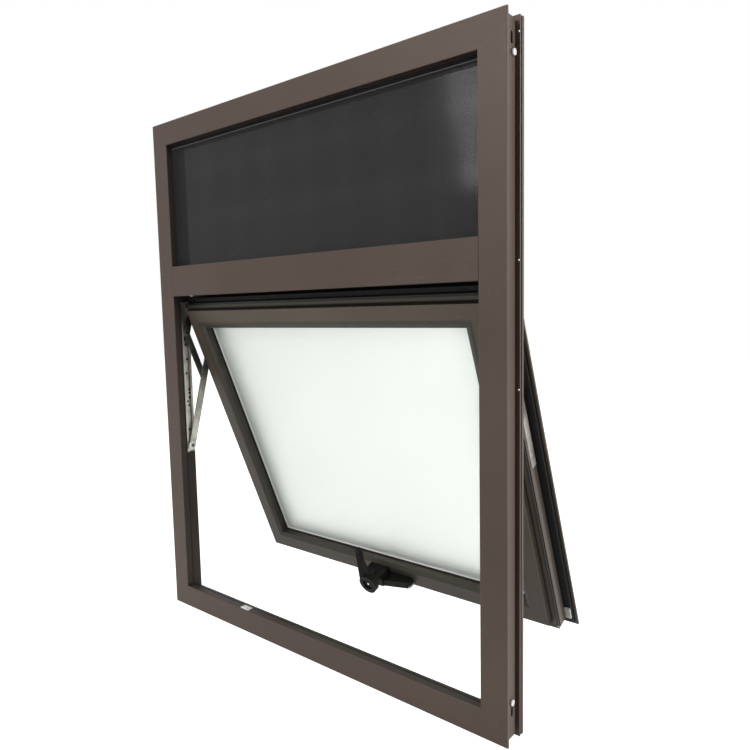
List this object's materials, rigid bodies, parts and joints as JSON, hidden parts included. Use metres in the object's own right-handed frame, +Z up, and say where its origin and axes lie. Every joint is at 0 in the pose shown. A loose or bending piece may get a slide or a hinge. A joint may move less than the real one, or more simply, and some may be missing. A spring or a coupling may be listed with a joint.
{
  "type": "top hung awning window",
  "caption": "Bronze aluminium window: fixed screened light above a top hung frosted sash on friction stays with a cam handle.",
  "frame": {"origin": "middle of the sill's underside, on the bottom edge of the room-side flange", "axes": "+Z up; +X to the right seen from the room; +Y outdoors"},
  "size_m": [0.64, 0.2438, 0.8],
  "materials": {
    "bronze_frame": "satin anodised bronze",
    "bronze_sash": "satin anodised bronze",
    "black_seal": "matt black gasket",
    "insect_mesh": "black woven insect mesh",
    "spacer_strip": "black spacer strip",
    "dark_glass": "dark tinted glass",
    "frosted_glass": "frosted pale green-white glass",
    "stay_steel": "satin stainless steel",
    "black_plastic": "black moulded plastic",
    "keeper_metal": "bright zinc",
    "grey_plastic": "pale grey moulded plastic",
    "handle_coat": "black powder coat"
  },
  "bodies": {
    "frame": {"frame_left_jamb": "bronze_frame", "frame_right_jamb": "bronze_frame", "frame_sill": "bronze_frame", "frame_head": "bronze_frame", "frame_transom": "bronze_frame", "frame_seal": "black_seal", "upper_mesh": "insect_mesh", "upper_spacer": "spacer_strip", "upper_glass": "dark_glass", "upper_bead_left": "bronze_frame", "upper_bead_right": "bronze_frame", "upper_bead_bottom": "bronze_frame", "upper_bead_top": "bronze_frame", "left_stay_track": "stay_steel", "right_stay_track": "stay_steel", "left_track_end_cap": "black_plastic", "right_track_end_cap": "black_plastic", "sill_keeper": "keeper_metal"},
    "sash": {"sash_left_stile": "bronze_sash", "sash_right_stile": "bronze_sash", "sash_bottom_rail": "bronze_sash", "sash_top_rail": "bronze_sash", "sash_bead_left": "bronze_sash", "sash_bead_right": "bronze_sash", "sash_bead_bottom": "bronze_sash", "sash_bead_top": "bronze_sash", "sash_glass": "frosted_glass", "sash_glass_seal_inner": "black_seal", "sash_glass_seal_outer": "black_seal", "sash_foot_seal": "black_seal", "left_sash_bar": "stay_steel", "right_sash_bar": "stay_steel", "sash_corner_block_left": "grey_plastic", "sash_corner_block_right": "grey_plastic", "handle_base": "handle_coat", "handle_latch": "keeper_metal"},
    "handle_lever": {"handle_lever": "handle_coat"},
    "left_arm": {"left_stay_arm": "stay_steel"},
    "left_link": {"left_stay_link": "stay_steel"},
    "left_top_link": {"left_stay_top_link": "stay_steel"},
    "left_shoe": {"left_stay_shoe": "black_plastic"},
    "right_arm": {"right_stay_arm": "stay_steel"},
    "right_link": {"right_stay_link": "stay_steel"},
    "right_top_link": {"right_stay_top_link": "stay_steel"},
    "right_shoe": {"right_stay_shoe": "black_plastic"}
  },
  "joints": [
    {"name": "left_arm_pivot", "type": "hinge", "parent": "frame", "child": "left_arm", "pos_m": [-0.2919, 0.0259, 0.273], "axis": [1, 0, 0], "range_deg": [-6.01, 14.99]},
    {"name": "left_link_pivot", "type": "hinge", "parent": "left_arm", "child": "left_link", "pos_m": [-0.2919, 0.05609, 0.38811], "axis": [1, 0, 0], "range_deg": [-36.59, 14.41]},
    {"name": "left_shoe_pivot", "type": "hinge", "parent": "left_link", "child": "left_shoe", "pos_m": [-0.2919, 0.0259, 0.46435], "axis": [1, 0, 0], "range_deg": [-8.7, 21.9]},
    {"name": "left_top_link_pivot", "type": "hinge", "parent": "sash", "child": "left_top_link", "pos_m": [-0.2919, 0.03833, 0.51175], "axis": [1, 0, 0], "range_deg": [-14.41, 36.59]},
    {"name": "right_arm_pivot", "type": "hinge", "parent": "frame", "child": "right_arm", "pos_m": [0.2919, 0.0259, 0.273], "axis": [1, 0, 0], "range_deg": [-6.01, 14.99]},
    {"name": "right_link_pivot", "type": "hinge", "parent": "right_arm", "child": "right_link", "pos_m": [0.2919, 0.05609, 0.38811], "axis": [1, 0, 0], "range_deg": [-36.59, 14.41]},
    {"name": "right_shoe_pivot", "type": "hinge", "parent": "right_link", "child": "right_shoe", "pos_m": [0.2919, 0.0259, 0.46435], "axis": [1, 0, 0], "range_deg": [-8.7, 21.9]},
    {"name": "right_top_link_pivot", "type": "hinge", "parent": "sash", "child": "right_top_link", "pos_m": [0.2919, 0.03833, 0.51175], "axis": [1, 0, 0], "range_deg": [-14.41, 36.59]},
    {"name": "sash_swing", "type": "hinge", "parent": "left_arm", "child": "sash", "pos_m": [-0.2919, 0.06852, 0.4355], "axis": [1, 0, 0], "range_deg": [-36.3, 14.12]},
    {"name": "handle_turn", "type": "hinge", "parent": "sash", "child": "handle_lever", "pos_m": [-0.006, 0.18628, 0.07558], "axis": [0, -0.9298, -0.3681], "range_deg": [0, 75]}
  ],
  "couplings": [
    {"joint": "left_arm_pivot", "follows": "sash_swing", "ratio": -0.40487},
    {"joint": "left_link_pivot", "follows": "sash_swing", "ratio": 1},
    {"joint": "left_shoe_pivot", "follows": "sash_swing", "ratio": -0.59513},
    {"joint": "left_top_link_pivot", "follows": "sash_swing", "ratio": -1},
    {"joint": "right_arm_pivot", "follows": "sash_swing", "ratio": -0.40487},
    {"joint": "right_link_pivot", "follows": "sash_swing", "ratio": 1},
    {"joint": "right_shoe_pivot", "follows": "sash_swing", "ratio": -0.59513},
    {"joint": "right_top_link_pivot", "follows": "sash_swing", "ratio": -1}
  ]
}
